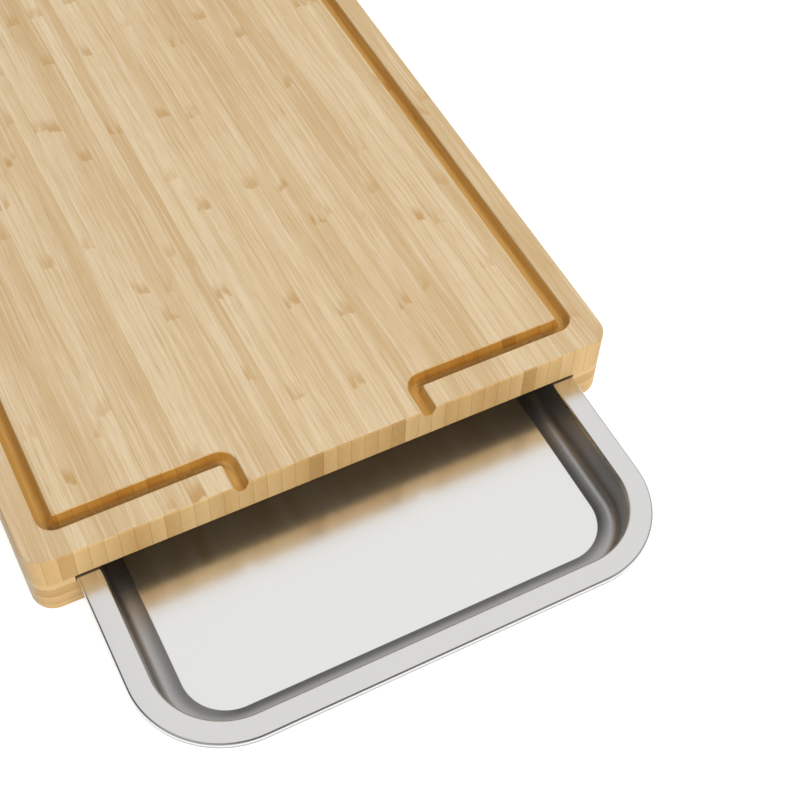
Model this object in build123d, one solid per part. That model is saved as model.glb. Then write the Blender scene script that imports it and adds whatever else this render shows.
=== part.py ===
from build123d import *
import os
from math import acos, atan2, cos, hypot, radians, sin, tan

# Bamboo cutting board with a juice groove and one steel tray that slides under it. Millimetres.
# Origin: on the bench, in the middle of the length that the board and its pulled-out tray take up.
# +Z is up, +X is to the right and the tray pulls out towards -Y.

# Board outline
board_width = 300.0
board_length = 400.0
board_corner_radius = 11.0
top_edge_radius = 1.2
foot_edge_radius = 3.0

# Slab: upright staves glued side by side, running front to back
slab_thickness = 19.0
stave_count = 42

# Juice groove, open at two outlets in the front edge
groove_width = 7.5
groove_depth = 5.0
groove_nose_radius = 2.4
groove_edge_ease = 0.4
groove_bend_inner_radius = 0.8
groove_side_inset = 12.0
groove_front_inset = 14.5
groove_rear_inset = 14.5
outlet_centre_x = 48.25

# Side rails and rear bar: one packer layer over flat runner layers
packer_width = 19.6
runner_count = 3
runner_wall_gap = 5.7
rear_bar_width = 26.0

# Tray, pressed from one sheet
sheet = 0.8
tray_depth = 19.8
rim_width = 11.5
lip_depth = 3.0
wall_lean = 8.0
gutter_width = 2.75
gutter_step = 1.5
gutter_step_run = 3.2
floor_corner_radius = 22.0
bend_inner_radius = 0.5
wall_cove_radius = 4.4
step_cove_radius = 12.0

# Clearances of the tray in its bay
tray_side_gap = 0.6
tray_end_gap = 1.0
tray_running_gap = 0.2
rim_top_gap = 1.2
table_gap = 2.0

# How far the tray is pulled out of the board at rest
tray_pull = 107.0

# Heights, from the bench up
packer_thickness = tray_running_gap + lip_depth + rim_top_gap
runner_top = tray_depth + table_gap - lip_depth - tray_running_gap
runner_thickness = runner_top / runner_count
slab_bottom = runner_top + packer_thickness
slab_top = slab_bottom + slab_thickness
rim_top = runner_top + tray_running_gap + lip_depth

# Plan places
tray_front_y = -(board_length + tray_pull) / 2
front_y = tray_front_y + tray_pull
rear_y = front_y + board_length
bay_rear_y = rear_y - rear_bar_width
slot_half_width = board_width / 2 - packer_width
tray_width = 2 * (slot_half_width - tray_side_gap)
tray_length = board_length - rear_bar_width - tray_end_gap
runner_inner_x = tray_width / 2 - rim_width + runner_wall_gap
board_centre_y = front_y + board_length / 2
tray_centre_y = tray_front_y + tray_length / 2

# Depths and insets of the tray's inner surface, from the rim's top and outer face
gutter_depth = tray_depth - sheet
floor_depth = gutter_depth - gutter_step
wall_foot_inset = rim_width + gutter_depth * tan(radians(wall_lean))
cove_reach = wall_cove_radius * tan(radians(90 - wall_lean) / 2)
step_inset = wall_foot_inset + cove_reach + gutter_width
floor_inset = step_inset + gutter_step_run
outer_bend_radius = bend_inner_radius + sheet
flat_floor_inset = floor_inset + outer_bend_radius
tray_corner_radius = floor_corner_radius + floor_inset


def box(low, high):
    """Upright block between two opposite corners."""
    size = [high[i] - low[i] for i in range(3)]
    centre = [(high[i] + low[i]) / 2 for i in range(3)]
    return Pos(*centre) * Box(*size)


def board_prism(bottom, top):
    """The board's rounded outline between two heights."""
    outline = RectangleRounded(board_width, board_length, board_corner_radius)
    return Pos(0, board_centre_y, bottom) * extrude(outline, top - bottom)


def edges_at(solid, height):
    """Every edge that lies flat at one height."""
    return solid.edges().filter_by_position(Axis.Z, height - 0.001, height + 0.001)


# Slab

def groove_section():
    """Two leaning walls on a round nose, with eased lips, drawn about the slab's top face."""
    half = groove_width / 2
    nose_height = groove_nose_radius - groove_depth
    reach = hypot(half, groove_edge_ease + nose_height)
    turn = atan2(half, -groove_edge_ease - nose_height) + acos(groove_nose_radius / reach)
    touch_x = groove_nose_radius * sin(turn)
    touch_z = nose_height + groove_nose_radius * cos(turn)
    lip = half + groove_edge_ease
    outline = [
        Polyline((-touch_x, touch_z), (-half, -groove_edge_ease), (-lip, 0), (-lip, groove_width)),
        Line((-lip, groove_width), (lip, groove_width)),
        Polyline((lip, groove_width), (lip, 0), (half, -groove_edge_ease), (touch_x, touch_z)),
        ThreePointArc((touch_x, touch_z), (0, -groove_depth), (-touch_x, touch_z)),
    ]
    return make_face(outline)


def groove_cutter():
    """The groove's section carried from one outlet round the board to the other."""
    side_x = board_width / 2 - groove_side_inset - groove_width / 2
    near_y = front_y + groove_front_inset + groove_width / 2
    far_y = rear_y - groove_rear_inset - groove_width / 2
    mouth_y = front_y - groove_width
    bend_radius = groove_width / 2 + groove_edge_ease + groove_bend_inner_radius
    route = FilletPolyline(
        (-outlet_centre_x, mouth_y, slab_top),
        (-outlet_centre_x, near_y, slab_top),
        (-side_x, near_y, slab_top),
        (-side_x, far_y, slab_top),
        (side_x, far_y, slab_top),
        (side_x, near_y, slab_top),
        (outlet_centre_x, near_y, slab_top),
        (outlet_centre_x, mouth_y, slab_top),
        radius=bend_radius,
    )
    start = Plane((-outlet_centre_x, mouth_y, slab_top), x_dir=(1, 0, 0), z_dir=(0, -1, 0))
    return sweep(start * groove_section(), path=route)


def slab():
    """The grooved slab in one piece, before it is parted into staves."""
    blank = board_prism(slab_bottom, slab_top)
    blank = fillet(edges_at(blank, slab_top), top_edge_radius)
    return blank - groove_cutter()


def staves():
    """One full-length stave per pitch, from left to right."""
    whole = slab()
    pitch = board_width / stave_count
    parts = {}
    for i in range(stave_count):
        left_x = -board_width / 2 + i * pitch
        strip = box((left_x, front_y, slab_bottom), (left_x + pitch, rear_y, slab_top))
        parts[f"stave_{i + 1:02d}"] = whole & strip
    return parts


# Rails

def underframe():
    """Rails and rear bar in one piece, with the tray's bay and the slot for its rim cut out."""
    blank = board_prism(0, slab_bottom)
    blank = fillet(edges_at(blank, 0), foot_edge_radius)
    bay = box((-runner_inner_x, front_y, 0), (runner_inner_x, bay_rear_y, runner_top))
    slot = box((-slot_half_width, front_y, runner_top), (slot_half_width, bay_rear_y, slab_bottom))
    return blank - bay - slot


def layer_pieces(whole, name, inner_x, bottom, top):
    """One layer of the underframe: a left rail, a right rail and the bar between them."""
    outer_x = board_width / 2
    left = box((-outer_x, front_y, bottom), (-inner_x, rear_y, top))
    right = box((inner_x, front_y, bottom), (outer_x, rear_y, top))
    rear = box((-inner_x, bay_rear_y, bottom), (inner_x, rear_y, top))
    return {
        f"left_{name}": whole & left,
        f"right_{name}": whole & right,
        f"rear_{name}": whole & rear,
    }


def rails():
    """Packers directly under the slab and runner layers below them."""
    whole = underframe()
    parts = layer_pieces(whole, "packer", slot_half_width, runner_top, slab_bottom)
    for i in range(runner_count):
        bottom = i * runner_thickness
        name = f"runner_{i + 1}"
        parts |= layer_pieces(whole, name, runner_inner_x, bottom, bottom + runner_thickness)
    return parts


# Tray

def tray_section():
    """Sheet section from lip to floor. X runs inwards and Y up from the rim's outer top corner."""
    surface = FilletPolyline(
        (0, -lip_depth),
        (0, 0),
        (rim_width, 0),
        (wall_foot_inset, -gutter_depth),
        (step_inset, -gutter_depth),
        (floor_inset, -floor_depth),
        (flat_floor_inset, -floor_depth),
        radius=[
            outer_bend_radius,
            outer_bend_radius,
            wall_cove_radius,
            step_cove_radius,
            outer_bend_radius,
        ],
    )
    return make_face(offset(surface, sheet, side=Side.RIGHT).edges())


def tray_outline(inset):
    """The tray's rounded outline in plan, drawn in from the rim's outer face."""
    width = tray_width - 2 * inset
    length = tray_length - 2 * inset
    return Pos(0, tray_centre_y) * RectangleRounded(width, length, tray_corner_radius - inset)


def tray():
    """Rim, walls and gutter carried round the outline, with the flat floor inside them."""
    route = Pos(0, 0, rim_top) * tray_outline(0).wire()
    start = Plane(route @ 0, x_dir=(1, 0, 0), z_dir=route % 0)
    surround = sweep(start * tray_section(), path=route)
    floor = extrude(tray_outline(flat_floor_inset), sheet)
    return surround + Pos(0, 0, rim_top - floor_depth - sheet) * floor


def main():
    os.makedirs("parts", exist_ok=True)
    parts = staves() | rails() | {"tray": tray()}
    for name, part in parts.items():
        export_step(part, f"parts/{name}.step")


main()
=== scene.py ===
from math import ceil, cos, pi, radians, sin, tan

import bmesh
import bpy
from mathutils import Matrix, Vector


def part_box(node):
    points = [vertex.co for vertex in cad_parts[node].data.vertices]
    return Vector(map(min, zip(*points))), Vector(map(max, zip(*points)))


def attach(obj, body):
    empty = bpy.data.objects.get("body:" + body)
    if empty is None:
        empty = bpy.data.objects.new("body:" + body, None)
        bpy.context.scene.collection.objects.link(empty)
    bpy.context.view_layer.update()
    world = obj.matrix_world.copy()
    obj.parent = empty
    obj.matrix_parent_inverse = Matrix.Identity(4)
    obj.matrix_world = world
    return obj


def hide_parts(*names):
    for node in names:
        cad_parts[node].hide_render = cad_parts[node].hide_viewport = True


# Looks of a bamboo cutting board with a juice groove and a steel tray that slides out under it.
# Objects are placed in metres in the part's own frame. Materials and the tray's section work in
# millimetres of it.

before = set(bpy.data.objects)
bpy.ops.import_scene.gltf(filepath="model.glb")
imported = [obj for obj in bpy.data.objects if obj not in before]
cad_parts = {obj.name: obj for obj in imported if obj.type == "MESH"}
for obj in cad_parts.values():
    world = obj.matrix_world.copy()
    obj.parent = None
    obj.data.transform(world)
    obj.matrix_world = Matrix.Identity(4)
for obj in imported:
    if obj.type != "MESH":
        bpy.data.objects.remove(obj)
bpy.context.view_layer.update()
MM = 0.001


def node_box(name):
    """Lowest and highest corner of a CAD node, in millimetres."""
    low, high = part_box(name)
    return low / MM, high / MM


def rgb(red, green, blue):
    """Linear colour of 0 to 255 display values."""
    def linear(value):
        value /= 255
        return value / 12.92 if value <= 0.04045 else ((value + 0.055) / 1.055) ** 2.4
    return (linear(red), linear(green), linear(blue), 1.0)


# The tray's sheet, in millimetres in from the rim's outer face and down from its top. The wall's
# lean is in degrees.
SHEET = 0.8
LIP_DEPTH = 3.0
RIM_WIDTH = 11.5
WALL_LEAN = 8.0
GUTTER_DEPTH = 19.0
GUTTER_WIDTH = 2.75
GUTTER_STEP = 1.5
GUTTER_STEP_RUN = 3.2
FLOOR_CORNER_RADIUS = 22.0
OUTER_BEND = 1.3
WALL_COVE = 4.4
STEP_COVE = 12.0

# How finely the tray's bends and corners are cut
ARC_STEP = radians(5.0)
CORNER_STEPS = 32

STAVE_COUNT = 42

# Where the groove's walls take their painted shade, in millimetres: the depths under the slab's
# top at which that shade starts and is full, the groove's depth and some slack, the least distance
# from the slab's outside, and for the outlets the greatest one from the middle and the start
# behind the front
GROOVE_LIP_TOP, GROOVE_LIP_FOOT = 0.25, 0.7
GROOVE_DEPTH, GROOVE_SLACK = 5.0, 0.1
GROOVE_MARGIN = 6.0
OUTLET_REACH, OUTLET_EDGE = 60.0, 0.2

# Places read from the CAD model. A stave near the middle has the slab's full length and height.
slab_low = node_box("stave_01")[0]
slab_high = node_box(f"stave_{STAVE_COUNT:02d}")[1]
middle_low, middle_high = node_box("stave_21")
tray_low, tray_high = node_box("tray")
runner_thickness = node_box("left_runner_1")[1].z


# Shader graphs

class Graph:
    """A node tree, with a short call for each kind of node used here."""

    def __init__(self, tree):
        self.tree = tree
        tree.nodes.clear()

    def node(self, kind, **settings):
        made = self.tree.nodes.new(kind)
        for key, value in settings.items():
            setattr(made, key, value)
        return made

    def feed(self, socket, value):
        """Link a socket to another or set it to a plain value. None leaves it as it is."""
        if isinstance(value, bpy.types.NodeSocket):
            self.tree.links.new(value, socket)
        elif value is not None:
            socket.default_value = value

    def math(self, operation, a, b=None):
        made = self.node("ShaderNodeMath", operation=operation)
        self.feed(made.inputs[0], a)
        self.feed(made.inputs[1], b)
        return made.outputs[0]

    def add(self, a, b):
        return self.math("ADD", a, b)

    def subtract(self, a, b):
        return self.math("SUBTRACT", a, b)

    def multiply(self, a, b):
        return self.math("MULTIPLY", a, b)

    def ramp(self, value, low, high, to_low=0.0, to_high=1.0):
        """Smooth step of value from low to high, held outside them."""
        made = self.node("ShaderNodeMapRange", interpolation_type="SMOOTHSTEP")
        for socket, given in zip(made.inputs, (value, low, high, to_low, to_high)):
            self.feed(socket, given)
        return made.outputs[0]

    def fall(self, value, low, high):
        """Smooth step from 1 at low to 0 at high."""
        return self.ramp(value, low, high, 1.0, 0.0)

    def vector(self, x, y, z):
        made = self.node("ShaderNodeCombineXYZ")
        for socket, value in zip(made.inputs, (x, y, z)):
            self.feed(socket, value)
        return made.outputs[0]

    def split(self, vector):
        made = self.node("ShaderNodeSeparateXYZ")
        self.feed(made.inputs[0], vector)
        return list(made.outputs)

    def noise(self, place, detail):
        """Soft noise from 0 to 1, with about one feature to the unit."""
        made = self.node("ShaderNodeTexNoise")
        self.feed(made.inputs["Vector"], place)
        self.feed(made.inputs["Scale"], 1.0)
        self.feed(made.inputs["Detail"], detail)
        return made.outputs["Fac"]

    def cells(self, place, scale):
        """Distance to the nearest of many scattered points."""
        made = self.node("ShaderNodeTexVoronoi")
        self.feed(made.inputs["Vector"], place)
        self.feed(made.inputs["Scale"], scale)
        return made.outputs["Distance"]

    def chance(self, number, seed):
        """A fixed random value from 0 to 1 for each whole number, another for each seed."""
        made = self.node("ShaderNodeTexWhiteNoise", noise_dimensions="1D")
        self.feed(made.inputs["W"], self.add(number, seed))
        return made.outputs["Value"]

    def blend(self, factor, a, b, mode="MIX"):
        made = self.node("ShaderNodeMix", data_type="RGBA", blend_type=mode)
        made.clamp_factor = True
        self.feed(made.inputs[0], factor)
        self.feed(made.inputs[6], a)
        self.feed(made.inputs[7], b)
        return made.outputs[2]

    def times(self, colour, tint):
        """Two colours multiplied."""
        return self.blend(1.0, colour, tint, "MULTIPLY")

    def stain(self, colour, mask, tint, strength):
        """Colour turned towards a tint where the mask is 1, by strength at the most."""
        return self.blend(self.multiply(mask, strength), colour, tint)

    def place(self):
        """Object coordinates in millimetres, as x, y and z."""
        coordinates = self.node("ShaderNodeTexCoord").outputs["Object"]
        scaled = self.node("ShaderNodeVectorMath", operation="SCALE")
        self.feed(scaled.inputs[0], coordinates)
        scaled.inputs["Scale"].default_value = 1 / MM
        return self.split(scaled.outputs[0])

    def facing(self):
        """How far the surface faces along each axis, from 0 to 1."""
        normal = self.node("ShaderNodeTexCoord").outputs["Normal"]
        return [self.math("ABSOLUTE", part) for part in self.split(normal)]

    def bump(self, height, distance, strength):
        made = self.node("ShaderNodeBump")
        self.feed(made.inputs["Height"], height)
        made.inputs["Distance"].default_value = distance
        made.inputs["Strength"].default_value = strength
        return made.outputs[0]

    def seen(self):
        """1 for rays that show the ground itself: those of the camera, of gloss and of glass."""
        path = self.node("ShaderNodeLightPath").outputs
        seen = self.math("MAXIMUM", path["Is Camera Ray"], path["Is Glossy Ray"])
        return self.math("MAXIMUM", seen, path["Is Transmission Ray"])

    def output(self, kind, shader):
        self.feed(self.node(kind).inputs["Surface"], shader)


def new_material(name):
    material = bpy.data.materials.new(name)
    material.use_nodes = True
    return material, Graph(material.node_tree)


# Bamboo. A point in the wood is given by its place through the strips' layers, across a strip's
# width and along the cane, in millimetres. A pace is noise features to the millimetre.

# Plain tones along the cane and on its cut ends, and the darker tints painted into the groove as
# its shade
LIGHT, DARK = rgb(231, 209, 172), rgb(208, 176, 130)
END_LIGHT, END_DARK = rgb(230, 194, 136), rgb(207, 163, 99)
GROOVE_SHADE_TINT, END_GROOVE_SHADE_TINT = rgb(234, 208, 146), rgb(208, 180, 118)

# Marks: the colour of each, and how much of it shows where the mark is full
DARK_BAND = rgb(205, 172, 122), 0.50
PALE_BAND = rgb(239, 221, 191), 0.38
FIBRE = rgb(188, 152, 98), 0.46
SEAM = rgb(192, 158, 106), 1.0
KNUCKLE = rgb(192, 148, 88), 0.80
DENSE_BLOCK = rgb(176, 130, 66), 0.50
PORE = rgb(124, 84, 34), 1.0
BLOCK_EDGE = rgb(150, 106, 50), 0.45

# Grain along the cane: the noises' paces across and along it, and the values that show a mark
SLOW_TONE_PACE = 0.09, 0.009
BAND_PACE, DARK_BAND_RANGE, PALE_BAND_RANGE = (0.80, 0.016), (0.46, 0.78), (0.30, 0.50)
FIBRE_PACE, FIBRE_RANGE = (3.0, 0.050), (0.52, 0.70)
TONE_SPREAD, TONE_START = 0.60, -0.33

# How the bands bend: the noise's pace along the cane, its step from strip to strip, its reach
DRIFT_PACE, DRIFT_STEP, DRIFT_REACH = 0.022, 5.0, 2.4

# Knuckles, in millimetres: the gap between the cane's rings and what chance adds to it, how far
# chance shifts a strip, how far a ring wanders, and where its mark rises and fades. The start
# keeps the count of rings above zero.
RING_GAP, RING_GAP_SPREAD = 120.0, 150.0
RING_START, RING_SHIFT = 2000.0, 400.0
RING_WANDER, RING_WANDER_PACE = 8.0, (0.16, 1.0)
RING_RISE, RING_FADE = (0.0, 1.2), (2.5, 13.0)
RING_STRENGTHS = 0.35, 1.0
BLOTCH_PACE, BLOTCH_RANGE = (0.26, 0.06), (0.35, 0.52)

# Cut ends: what chance, the skin's nearness and a slow noise add to a block's tone
END_TONE_SPREAD, END_SKIN_TONE, END_FLOW_TONE, END_TONE_START = 0.62, 0.30, 0.5, -0.28
END_FLOW_PACE = 1.1, 0.16
DENSE_RANGE = 0.84, 0.96
PORE_PACE, PORE_STEP, PORE_RANGE = 1.7, 3.7, (0.12, 0.42)
DENSE_PORES, SKIN_RANGE, SKIN_PORES = 0.55, (0.2, 1.0), (0.04, 0.30)

# Seams, as shares of a strip's width, and how much more they show in a dark band
SEAM_SHARE, SEAM_RELIEF_SHARE, BLOCK_EDGE_SHARE = 0.05, 0.04, 0.045
SEAM_BAND_RANGE, SEAM_STRENGTHS = (0.42, 0.62), (0.10, 0.60)

# Seeds that tell a strip's random values apart
FLIP_SEED, TONE_SEED, END_TONE_SEED, DENSE_SEED = 31.5, 0.5, 9.5, 51.5
RING_GAP_SEED, RING_SHIFT_SEED = 5.5, 77.5

# Finish: where a face counts as cut, its roughness and gloss, and its relief in metres
CUT_RANGE = 0.30, 0.75
WOOD_GLOSS_RANGE, WOOD_ROUGHNESS = (0.3, 0.7), (0.46, 0.60)
WOOD_SPECULAR = 0.36
FIBRE_RELIEF, SEAM_RELIEF = 0.6, 0.5
RELIEF_DEPTH, RELIEF_STRENGTH = 0.00012, 0.30


def strip_pattern(graph, layer, pitch, start):
    """Which strip a point is in, how near it is to a seam, and how near to the cane's skin.

    Chance says on which side of each strip the skin is.
    """
    count = graph.math("DIVIDE", graph.subtract(layer, start), pitch)
    strip = graph.math("FLOOR", count)
    across = graph.math("FRACT", count)
    seam_gap = graph.math("PINGPONG", across, 0.5)
    flip = graph.math("ROUND", graph.chance(strip, FLIP_SEED))
    skin = graph.math("ABSOLUTE", graph.subtract(across, flip))
    return strip, seam_gap, skin


def drawn_out(graph, point, pace, detail=2.0):
    """Noise with one pace across the cane and another along it."""
    layer, width, along = point
    across_pace, along_pace = pace
    place = graph.vector(
        graph.multiply(layer, across_pace),
        graph.multiply(width, across_pace),
        graph.multiply(along, along_pace),
    )
    return graph.noise(place, detail)


def knuckles(graph, strip, point):
    """Soft brown marks at the cane's rings, crisp at one end and fading at the other."""
    layer, width, along = point
    spread = graph.multiply(graph.chance(strip, RING_GAP_SEED), RING_GAP_SPREAD)
    gap = graph.add(RING_GAP, spread)
    shift = graph.multiply(graph.chance(strip, RING_SHIFT_SEED), RING_SHIFT)
    wander = drawn_out(graph, (layer, width, strip), RING_WANDER_PACE, detail=1.0)
    shifted = graph.add(graph.add(along, shift), graph.multiply(wander, RING_WANDER))
    turns = graph.math("DIVIDE", graph.add(shifted, RING_START), gap)
    past = graph.multiply(graph.math("FRACT", turns), gap)
    patch = graph.multiply(graph.ramp(past, *RING_RISE), graph.fall(past, *RING_FADE))
    luck = graph.chance(graph.math("FLOOR", turns), strip)
    own = graph.ramp(luck, 0.0, 1.0, *RING_STRENGTHS)
    blotch = graph.ramp(drawn_out(graph, point, BLOTCH_PACE, detail=1.0), *BLOTCH_RANGE)
    return graph.multiply(graph.multiply(patch, own), blotch)


def long_grain(graph, strip, seam_gap, point):
    """Colour of a face that runs along the cane, and the noise of its fibres."""
    layer, width, along = point
    drift = graph.vector(graph.multiply(along, DRIFT_PACE), graph.multiply(strip, DRIFT_STEP), 0.0)
    drift = graph.add(graph.noise(drift, detail=1.0), -0.5)
    bent = (graph.add(layer, graph.multiply(drift, DRIFT_REACH)), width, along)
    slow = drawn_out(graph, point, SLOW_TONE_PACE)
    bands = drawn_out(graph, bent, BAND_PACE)
    fibres = drawn_out(graph, bent, FIBRE_PACE)
    own = graph.multiply(graph.chance(strip, TONE_SEED), TONE_SPREAD)
    colour = graph.blend(graph.add(own, graph.add(slow, TONE_START)), LIGHT, DARK)
    colour = graph.stain(colour, graph.ramp(bands, *DARK_BAND_RANGE), *DARK_BAND)
    colour = graph.stain(colour, graph.fall(bands, *PALE_BAND_RANGE), *PALE_BAND)
    colour = graph.stain(colour, graph.ramp(fibres, *FIBRE_RANGE), *FIBRE)
    seam = graph.multiply(
        graph.fall(seam_gap, 0.0, SEAM_SHARE),
        graph.ramp(bands, *SEAM_BAND_RANGE, *SEAM_STRENGTHS),
    )
    colour = graph.stain(colour, seam, *SEAM)
    return graph.stain(colour, knuckles(graph, strip, point), *KNUCKLE), fibres


def end_grain(graph, strip, seam_gap, skin, point):
    """Colour of a face cut across the cane: a block per strip, its fibres denser at the skin."""
    layer, width, _ = point
    layer_pace, width_pace = END_FLOW_PACE
    flow = graph.vector(graph.multiply(layer, layer_pace), graph.multiply(width, width_pace), strip)
    flow = graph.multiply(graph.noise(flow, detail=2.0), END_FLOW_TONE)
    own = graph.multiply(graph.chance(strip, END_TONE_SEED), END_TONE_SPREAD)
    own = graph.add(own, graph.multiply(skin, END_SKIN_TONE))
    tone = graph.add(own, graph.add(flow, END_TONE_START))
    colour = graph.blend(tone, END_LIGHT, END_DARK)
    dense = graph.ramp(graph.chance(strip, DENSE_SEED), *DENSE_RANGE)
    colour = graph.stain(colour, dense, *DENSE_BLOCK)
    pores = graph.cells(graph.vector(layer, width, graph.multiply(strip, PORE_STEP)), PORE_PACE)
    share = graph.multiply(dense, DENSE_PORES)
    share = graph.add(share, graph.ramp(skin, *SKIN_RANGE, *SKIN_PORES))
    colour = graph.stain(colour, graph.multiply(graph.fall(pores, *PORE_RANGE), share), *PORE)
    return graph.stain(colour, graph.fall(seam_gap, 0.0, BLOCK_EDGE_SHARE), *BLOCK_EDGE)


def groove_shade_mask(graph, place):
    """1 where the groove's walls take painted shade, told by depth under the slab's top and place
    in plan.
    """
    x, y, z = place
    from_middle = graph.math("ABSOLUTE", x)
    under_lip = graph.fall(z, middle_high.z - GROOVE_LIP_FOOT, middle_high.z - GROOVE_LIP_TOP)
    floor_height = middle_high.z - GROOVE_DEPTH - GROOVE_SLACK
    above_floor = graph.math("GREATER_THAN", z, floor_height)
    inside_sides = graph.math("LESS_THAN", from_middle, slab_high.x - GROOVE_MARGIN)
    inside_front = graph.math("GREATER_THAN", y, middle_low.y + GROOVE_MARGIN)
    inside_back = graph.math("LESS_THAN", y, middle_high.y - GROOVE_MARGIN)
    outlet = graph.multiply(
        graph.math("LESS_THAN", from_middle, OUTLET_REACH),
        graph.math("GREATER_THAN", y, middle_low.y + OUTLET_EDGE),
    )
    depth = graph.multiply(under_lip, above_floor)
    plan = graph.multiply(inside_sides, inside_back)
    front = graph.math("MAXIMUM", inside_front, outlet)
    return graph.multiply(graph.multiply(depth, plan), front)


def bamboo(name, axes, pitch, start, grooved=False):
    """Oiled bamboo in strips. axes gives the directions of a strip's layer, width and length."""
    material, graph = new_material(name)
    place, facing = graph.place(), graph.facing()
    point = [place[i] for i in axes]
    strip, seam_gap, skin = strip_pattern(graph, point[0], pitch, start)
    sides, fibres = long_grain(graph, strip, seam_gap, point)
    ends = end_grain(graph, strip, seam_gap, skin, point)
    cut = graph.ramp(facing[axes[2]], *CUT_RANGE)
    colour = graph.blend(cut, sides, ends)
    # The groove's walls are darkened and warmed: painted shade of the recess, on its cut ends as
    # well
    if grooved:
        groove_shaded = graph.times(colour, graph.blend(cut, GROOVE_SHADE_TINT, END_GROOVE_SHADE_TINT))
        colour = graph.blend(groove_shade_mask(graph, place), colour, groove_shaded)
    relief = graph.add(
        graph.multiply(fibres, FIBRE_RELIEF),
        graph.multiply(graph.ramp(seam_gap, 0.0, SEAM_RELIEF_SHARE), SEAM_RELIEF),
    )
    roughness = graph.ramp(fibres, *WOOD_GLOSS_RANGE, *WOOD_ROUGHNESS)
    shader = graph.node("ShaderNodeBsdfPrincipled")
    shader.inputs["Specular IOR Level"].default_value = WOOD_SPECULAR
    graph.feed(shader.inputs["Base Color"], colour)
    graph.feed(shader.inputs["Roughness"], roughness)
    graph.feed(shader.inputs["Normal"], graph.bump(relief, RELIEF_DEPTH, RELIEF_STRENGTH))
    graph.output("ShaderNodeOutputMaterial", shader.outputs[0])
    return material


# Steel

# Colours on the rim, where the sheet is drawn down, and on the raised floor
# The drawn walls' darker colour is painted shade, the raised floor's lighter one a painted
# reflection
BRUSHED, DRAWN_SHADED, BRIGHTENED_FLOOR = rgb(227, 226, 224), rgb(186, 185, 184), rgb(240, 240, 238)

# Brushing along the tray: its pace across and along, and what it does to shade and roughness
STEEL_PACE = 2.4, 0.12
STEEL_SHADE_RANGE, STEEL_SHADE = (0.2, 0.8), (0.96, 1.0)
STEEL_GLOSS_RANGE, STEEL_ROUGHNESS = (0.25, 0.75), (0.20, 0.25)
DRAWN_ROUGHNESS = 0.16

# The raised floor, told by its height to within some tenths of a millimetre and by facing up
# Its lighter colour there is a painted reflection
BRIGHTENED_FLOOR_REACH, BRIGHTENED_FLOOR_FACING = (0.1, 0.4), (0.94, 0.99)


def satin_steel(name):
    """Pressed stainless sheet: brushed rim, duller walls and gutter in painted shade, raised floor
    in painted reflection.
    """
    material, graph = new_material(name)
    x, y, z = graph.place()
    across_pace, along_pace = STEEL_PACE
    brushing = graph.vector(
        graph.multiply(x, across_pace),
        graph.multiply(y, along_pace),
        graph.multiply(z, across_pace),
    )
    brushing = graph.noise(brushing, detail=3.0)
    floor_height = tray_high.z - GUTTER_DEPTH + GUTTER_STEP
    off_floor = graph.math("ABSOLUTE", graph.subtract(z, floor_height))
    brightened_floor = graph.multiply(
        graph.fall(off_floor, *BRIGHTENED_FLOOR_REACH),
        graph.ramp(graph.facing()[2], *BRIGHTENED_FLOOR_FACING),
    )
    under_rim = graph.fall(z, tray_high.z - LIP_DEPTH, tray_high.z - OUTER_BEND / 2)
    drawn_and_shaded = graph.multiply(under_rim, graph.subtract(1.0, brightened_floor))
    # Walls darkened as painted shade, raised floor lightened as painted reflection; the walls are
    # also rougher
    colour = graph.blend(brightened_floor, graph.blend(drawn_and_shaded, BRUSHED, DRAWN_SHADED), BRIGHTENED_FLOOR)
    shade = graph.ramp(brushing, *STEEL_SHADE_RANGE, *STEEL_SHADE)
    roughness = graph.ramp(brushing, *STEEL_GLOSS_RANGE, *STEEL_ROUGHNESS)
    roughness = graph.add(roughness, graph.multiply(drawn_and_shaded, DRAWN_ROUGHNESS))
    shader = graph.node("ShaderNodeBsdfPrincipled")
    shader.inputs["Metallic"].default_value = 1.0
    graph.feed(shader.inputs["Base Color"], graph.times(colour, graph.vector(shade, shade, shade)))
    graph.feed(shader.inputs["Roughness"], roughness)
    graph.output("ShaderNodeOutputMaterial", shader.outputs[0])
    return material


# The tray's sheet

def fillet_corner(before, corner, after, radius):
    """Points of the arc that rounds a corner between two others."""
    first = (Vector(before) - Vector(corner)).normalized()
    second = (Vector(after) - Vector(corner)).normalized()
    half = first.angle(second) / 2
    reach = radius / tan(half)
    start = Vector(corner) + first * reach
    centre = Vector(corner) + (first + second).normalized() * (radius / sin(half))
    swing = pi - 2 * half
    steps = max(1, ceil(swing / ARC_STEP))
    turn = 1 if first.x * second.y - first.y * second.x < 0 else -1
    ray = start - centre
    points = []
    for i in range(steps + 1):
        angle = turn * swing * i / steps
        x = ray.x * cos(angle) - ray.y * sin(angle)
        y = ray.x * sin(angle) + ray.y * cos(angle)
        points.append(centre + Vector((x, y)))
    return points


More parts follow.
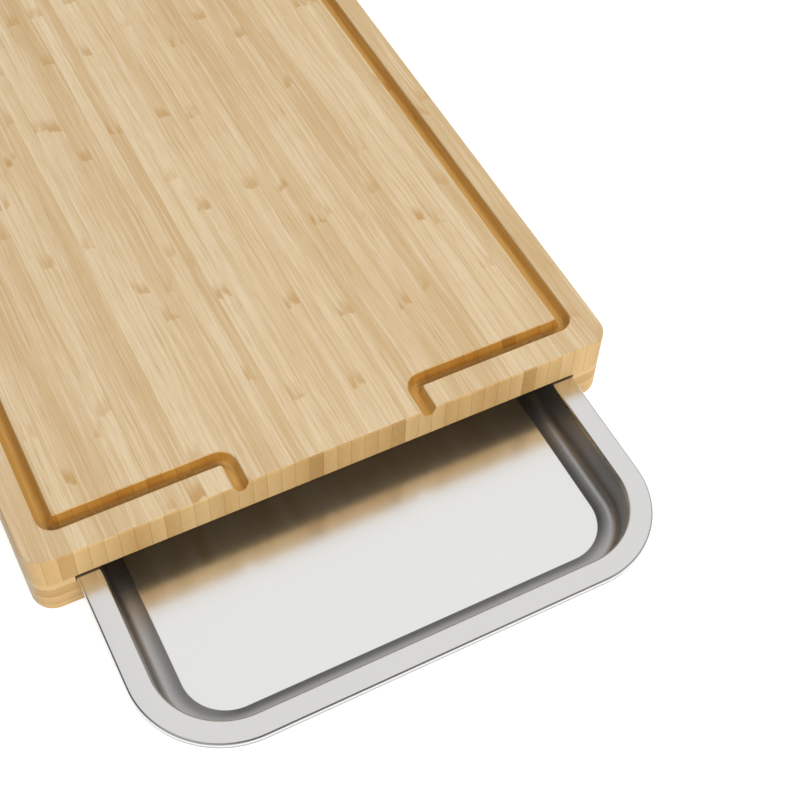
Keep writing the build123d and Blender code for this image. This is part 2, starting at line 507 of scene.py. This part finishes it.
def tray_profile():
    """The sheet's upper surface from lip to floor, as (inset, height), and the floor's inset."""
    foot = RIM_WIDTH + GUTTER_DEPTH * tan(radians(WALL_LEAN))
    step = foot + WALL_COVE * tan(radians(90 - WALL_LEAN) / 2) + GUTTER_WIDTH
    floor = step + GUTTER_STEP_RUN
    floor_height = GUTTER_STEP - GUTTER_DEPTH
    corners = [
        ((0, 0), OUTER_BEND),
        ((RIM_WIDTH, 0), OUTER_BEND),
        ((foot, -GUTTER_DEPTH), WALL_COVE),
        ((step, -GUTTER_DEPTH), STEP_COVE),
        ((floor, floor_height), OUTER_BEND),
    ]
    start, end = (0, -LIP_DEPTH), (floor + 2 * OUTER_BEND, floor_height)
    stops = [start] + [corner for corner, _ in corners] + [end]
    points = [Vector(start)]
    for i, (corner, radius) in enumerate(corners):
        points += fillet_corner(stops[i], corner, stops[i + 2], radius)
    points.append(Vector(end))
    return points, floor


def underside(points):
    """The same line moved by the sheet's thickness to the side away from the food."""
    moved = []
    for i, point in enumerate(points):
        before, after = points[max(i - 1, 0)], points[min(i + 1, len(points) - 1)]
        run = (after - before).normalized()
        moved.append(point + Vector((run.y, -run.x)) * SHEET)
    return moved


def ring_points(inset, height, corner_radius):
    """One loop round the tray at an inset from the rim's outer face."""
    centre = (tray_low + tray_high) / 2
    half_x = (tray_high.x - tray_low.x) / 2 - inset
    half_y = (tray_high.y - tray_low.y) / 2 - inset
    radius = corner_radius - inset
    points = []
    for quarter, (side_x, side_y) in enumerate(((1, 1), (-1, 1), (-1, -1), (1, -1))):
        for i in range(CORNER_STEPS + 1):
            angle = pi / 2 * (quarter + i / CORNER_STEPS)
            x = centre.x + side_x * (half_x - radius) + radius * cos(angle)
            y = centre.y + side_y * (half_y - radius) + radius * sin(angle)
            points.append(Vector((x, y, tray_high.z + height)) * MM)
    return points


def tray_mesh():
    """The pressed tray as one closed sheet with finely rounded bends."""
    upper, floor_inset = tray_profile()
    corner_radius = FLOOR_CORNER_RADIUS + floor_inset
    mesh = bmesh.new()
    loops = []
    for inset, height in [*reversed(underside(upper)), *upper]:
        loops.append([mesh.verts.new(p) for p in ring_points(inset, height, corner_radius)])
    for inner, outer in zip(loops, loops[1:]):
        for i in range(len(inner)):
            j = (i + 1) % len(inner)
            mesh.faces.new((inner[i], inner[j], outer[j], outer[i]))
    mesh.faces.new(loops[0])
    mesh.faces.new(list(reversed(loops[-1])))
    bmesh.ops.recalc_face_normals(mesh, faces=mesh.faces)
    for face in mesh.faces:
        face.smooth = True
    data = bpy.data.meshes.new("tray_sheet")
    mesh.to_mesh(data)
    mesh.free()
    return data


# Dressing the part

def add_object(name, data):
    made = bpy.data.objects.new(name, data)
    bpy.context.scene.collection.objects.link(made)
    return made


def dress_tray():
    data = tray_mesh()
    data.materials.append(satin_steel("satin_steel"))
    sheet = add_object("tray_sheet", data)
    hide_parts("tray")
    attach(sheet, "tray")


def dress_board():
    """Give each bamboo piece its material: upright strips in the slab, flat ones under it."""
    pitch = (slab_high.x - slab_low.x) / STAVE_COUNT
    rail = bamboo("bamboo_rail", (2, 0, 1), runner_thickness, 0.0)
    woods = {
        "stave": bamboo("bamboo_slab", (0, 2, 1), pitch, slab_low.x, grooved=True),
        "left": rail,
        "right": rail,
        "rear": bamboo("bamboo_rear", (2, 1, 0), runner_thickness, 0.0),
    }
    for name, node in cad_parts.items():
        kind = name.split("_")[0]
        if kind in woods:
            node.data.materials.clear()
            node.data.materials.append(woods[kind])


# Studio

# The world: its strength as light on the object, and what metal sees in it. The background
# node's own colour, a grey of 0.8, multiplies every level. The ceiling and the screens are each
# a direction, and the cosines of the angles from it between which they come in.
AMBIENT = 0.42
ROOM_LEVEL, CEILING_LEVEL, SCREEN_LEVEL = 0.58, 1.18, 0.12
CEILING, CEILING_RANGE = Vector((0.27, 0.36, 0.893)), (0.84, 0.96)
SCREENS, SCREEN_RANGE = (Vector((-0.755, 0.352, 0.553)), Vector((0.1, -0.5, 0.86))), (0.88, 0.98)

# The floor: grey that is lifted to white where it is seen, a little under the object's foot
FLOOR_GREY = (0.8, 0.8, 0.8, 1.0)
FLOOR_LIFT = 0.62
FLOOR_HALF_SIZE = 3.0
FLOOR_DROP = 0.0002

# Softboxes: the place of each, the point that it faces, its diameter in metres and its watts
LAMPS = {
    "key": ((1.3, 1.7, 1.6), (0.0, 0.1, 0.03), 1.0, 38.0),
    "fill": ((-0.1, -1.9, 1.3), (0.0, -0.1, 0.03), 1.4, 33.0),
}

# The photograph's viewpoint, solved from the board's edges and the tray's rim: sensor and lens in
# millimetres, the nearest distance seen and the camera's place in metres
SENSOR_WIDTH, LENS = 36.0, 67.268
NEAREST = 0.01
CAMERA_PLACE = (-0.16934, -0.50185, 0.61129)
CAMERA_TURN = (radians(36.473), radians(-1.723), radians(-27.199))


def floor_material():
    """White ground that still takes the object's shadow."""
    material, graph = new_material("studio_white")
    diffuse = graph.node("ShaderNodeBsdfDiffuse")
    diffuse.inputs["Color"].default_value = FLOOR_GREY
    lift = graph.node("ShaderNodeEmission")
    graph.feed(lift.inputs["Strength"], graph.multiply(graph.seen(), FLOOR_LIFT))
    both = graph.node("ShaderNodeAddShader")
    graph.feed(both.inputs[0], diffuse.outputs[0])
    graph.feed(both.inputs[1], lift.outputs[0])
    graph.output("ShaderNodeOutputMaterial", both.outputs[0])
    return material


def studio_floor():
    half = FLOOR_HALF_SIZE
    outline = [(-half, -half, 0), (half, -half, 0), (half, half, 0), (-half, half, 0)]
    data = bpy.data.meshes.new("studio_floor")
    data.from_pydata(outline, [], [(0, 1, 2, 3)])
    data.materials.append(floor_material())
    floor = add_object("studio_floor", data)
    floor.location.z = -FLOOR_DROP


def towards(graph, direction):
    """How far the world's point lies in one direction, from -1 to 1."""
    made = graph.node("ShaderNodeVectorMath", operation="DOT_PRODUCT")
    graph.feed(made.inputs[0], graph.node("ShaderNodeTexCoord").outputs["Generated"])
    made.inputs[1].default_value = direction
    return made.outputs["Value"]


def studio_world():
    """A pale backdrop. Metal sees a bright ceiling over a grey room with dark screens in it."""
    world = bpy.data.worlds.new("studio_world")
    bpy.context.scene.world = world
    world.use_nodes = True
    graph = Graph(world.node_tree)
    path = graph.node("ShaderNodeLightPath").outputs
    room = graph.ramp(towards(graph, CEILING), *CEILING_RANGE, ROOM_LEVEL, CEILING_LEVEL)
    for screen in SCREENS:
        dimming = graph.ramp(towards(graph, screen), *SCREEN_RANGE, 1.0, SCREEN_LEVEL)
        room = graph.multiply(room, dimming)
    mirrored = graph.multiply(path["Is Glossy Ray"], graph.add(room, -AMBIENT))
    plain = graph.math("MAXIMUM", path["Is Camera Ray"], path["Is Transmission Ray"])
    strength = graph.math("MAXIMUM", graph.add(AMBIENT, mirrored), plain)
    background = graph.node("ShaderNodeBackground")
    graph.feed(background.inputs["Strength"], strength)
    graph.output("ShaderNodeOutputWorld", background.outputs[0])


def area_lamp(name, place, target, size, power):
    """A round softbox, left out of reflections: metal and gloss see the world alone."""
    lamp = bpy.data.lights.new(name, "AREA")
    lamp.shape = "DISK"
    lamp.size = size
    lamp.energy = power
    holder = add_object(name, lamp)
    holder.visible_glossy = False
    holder.location = place
    ray = Vector(target) - Vector(place)
    holder.rotation_euler = ray.to_track_quat("-Z", "Y").to_euler()


def studio_camera():
    camera = bpy.data.cameras.new("camera")
    camera.sensor_width = SENSOR_WIDTH
    camera.lens = LENS
    camera.clip_start = NEAREST
    holder = add_object("camera", camera)
    holder.location = CAMERA_PLACE
    holder.rotation_euler = CAMERA_TURN
    bpy.context.scene.camera = holder


dress_board()
dress_tray()
studio_floor()
studio_world()
for lamp_name, settings in LAMPS.items():
    area_lamp(lamp_name, *settings)
studio_camera()
bpy.context.scene.view_settings.view_transform = "Standard"
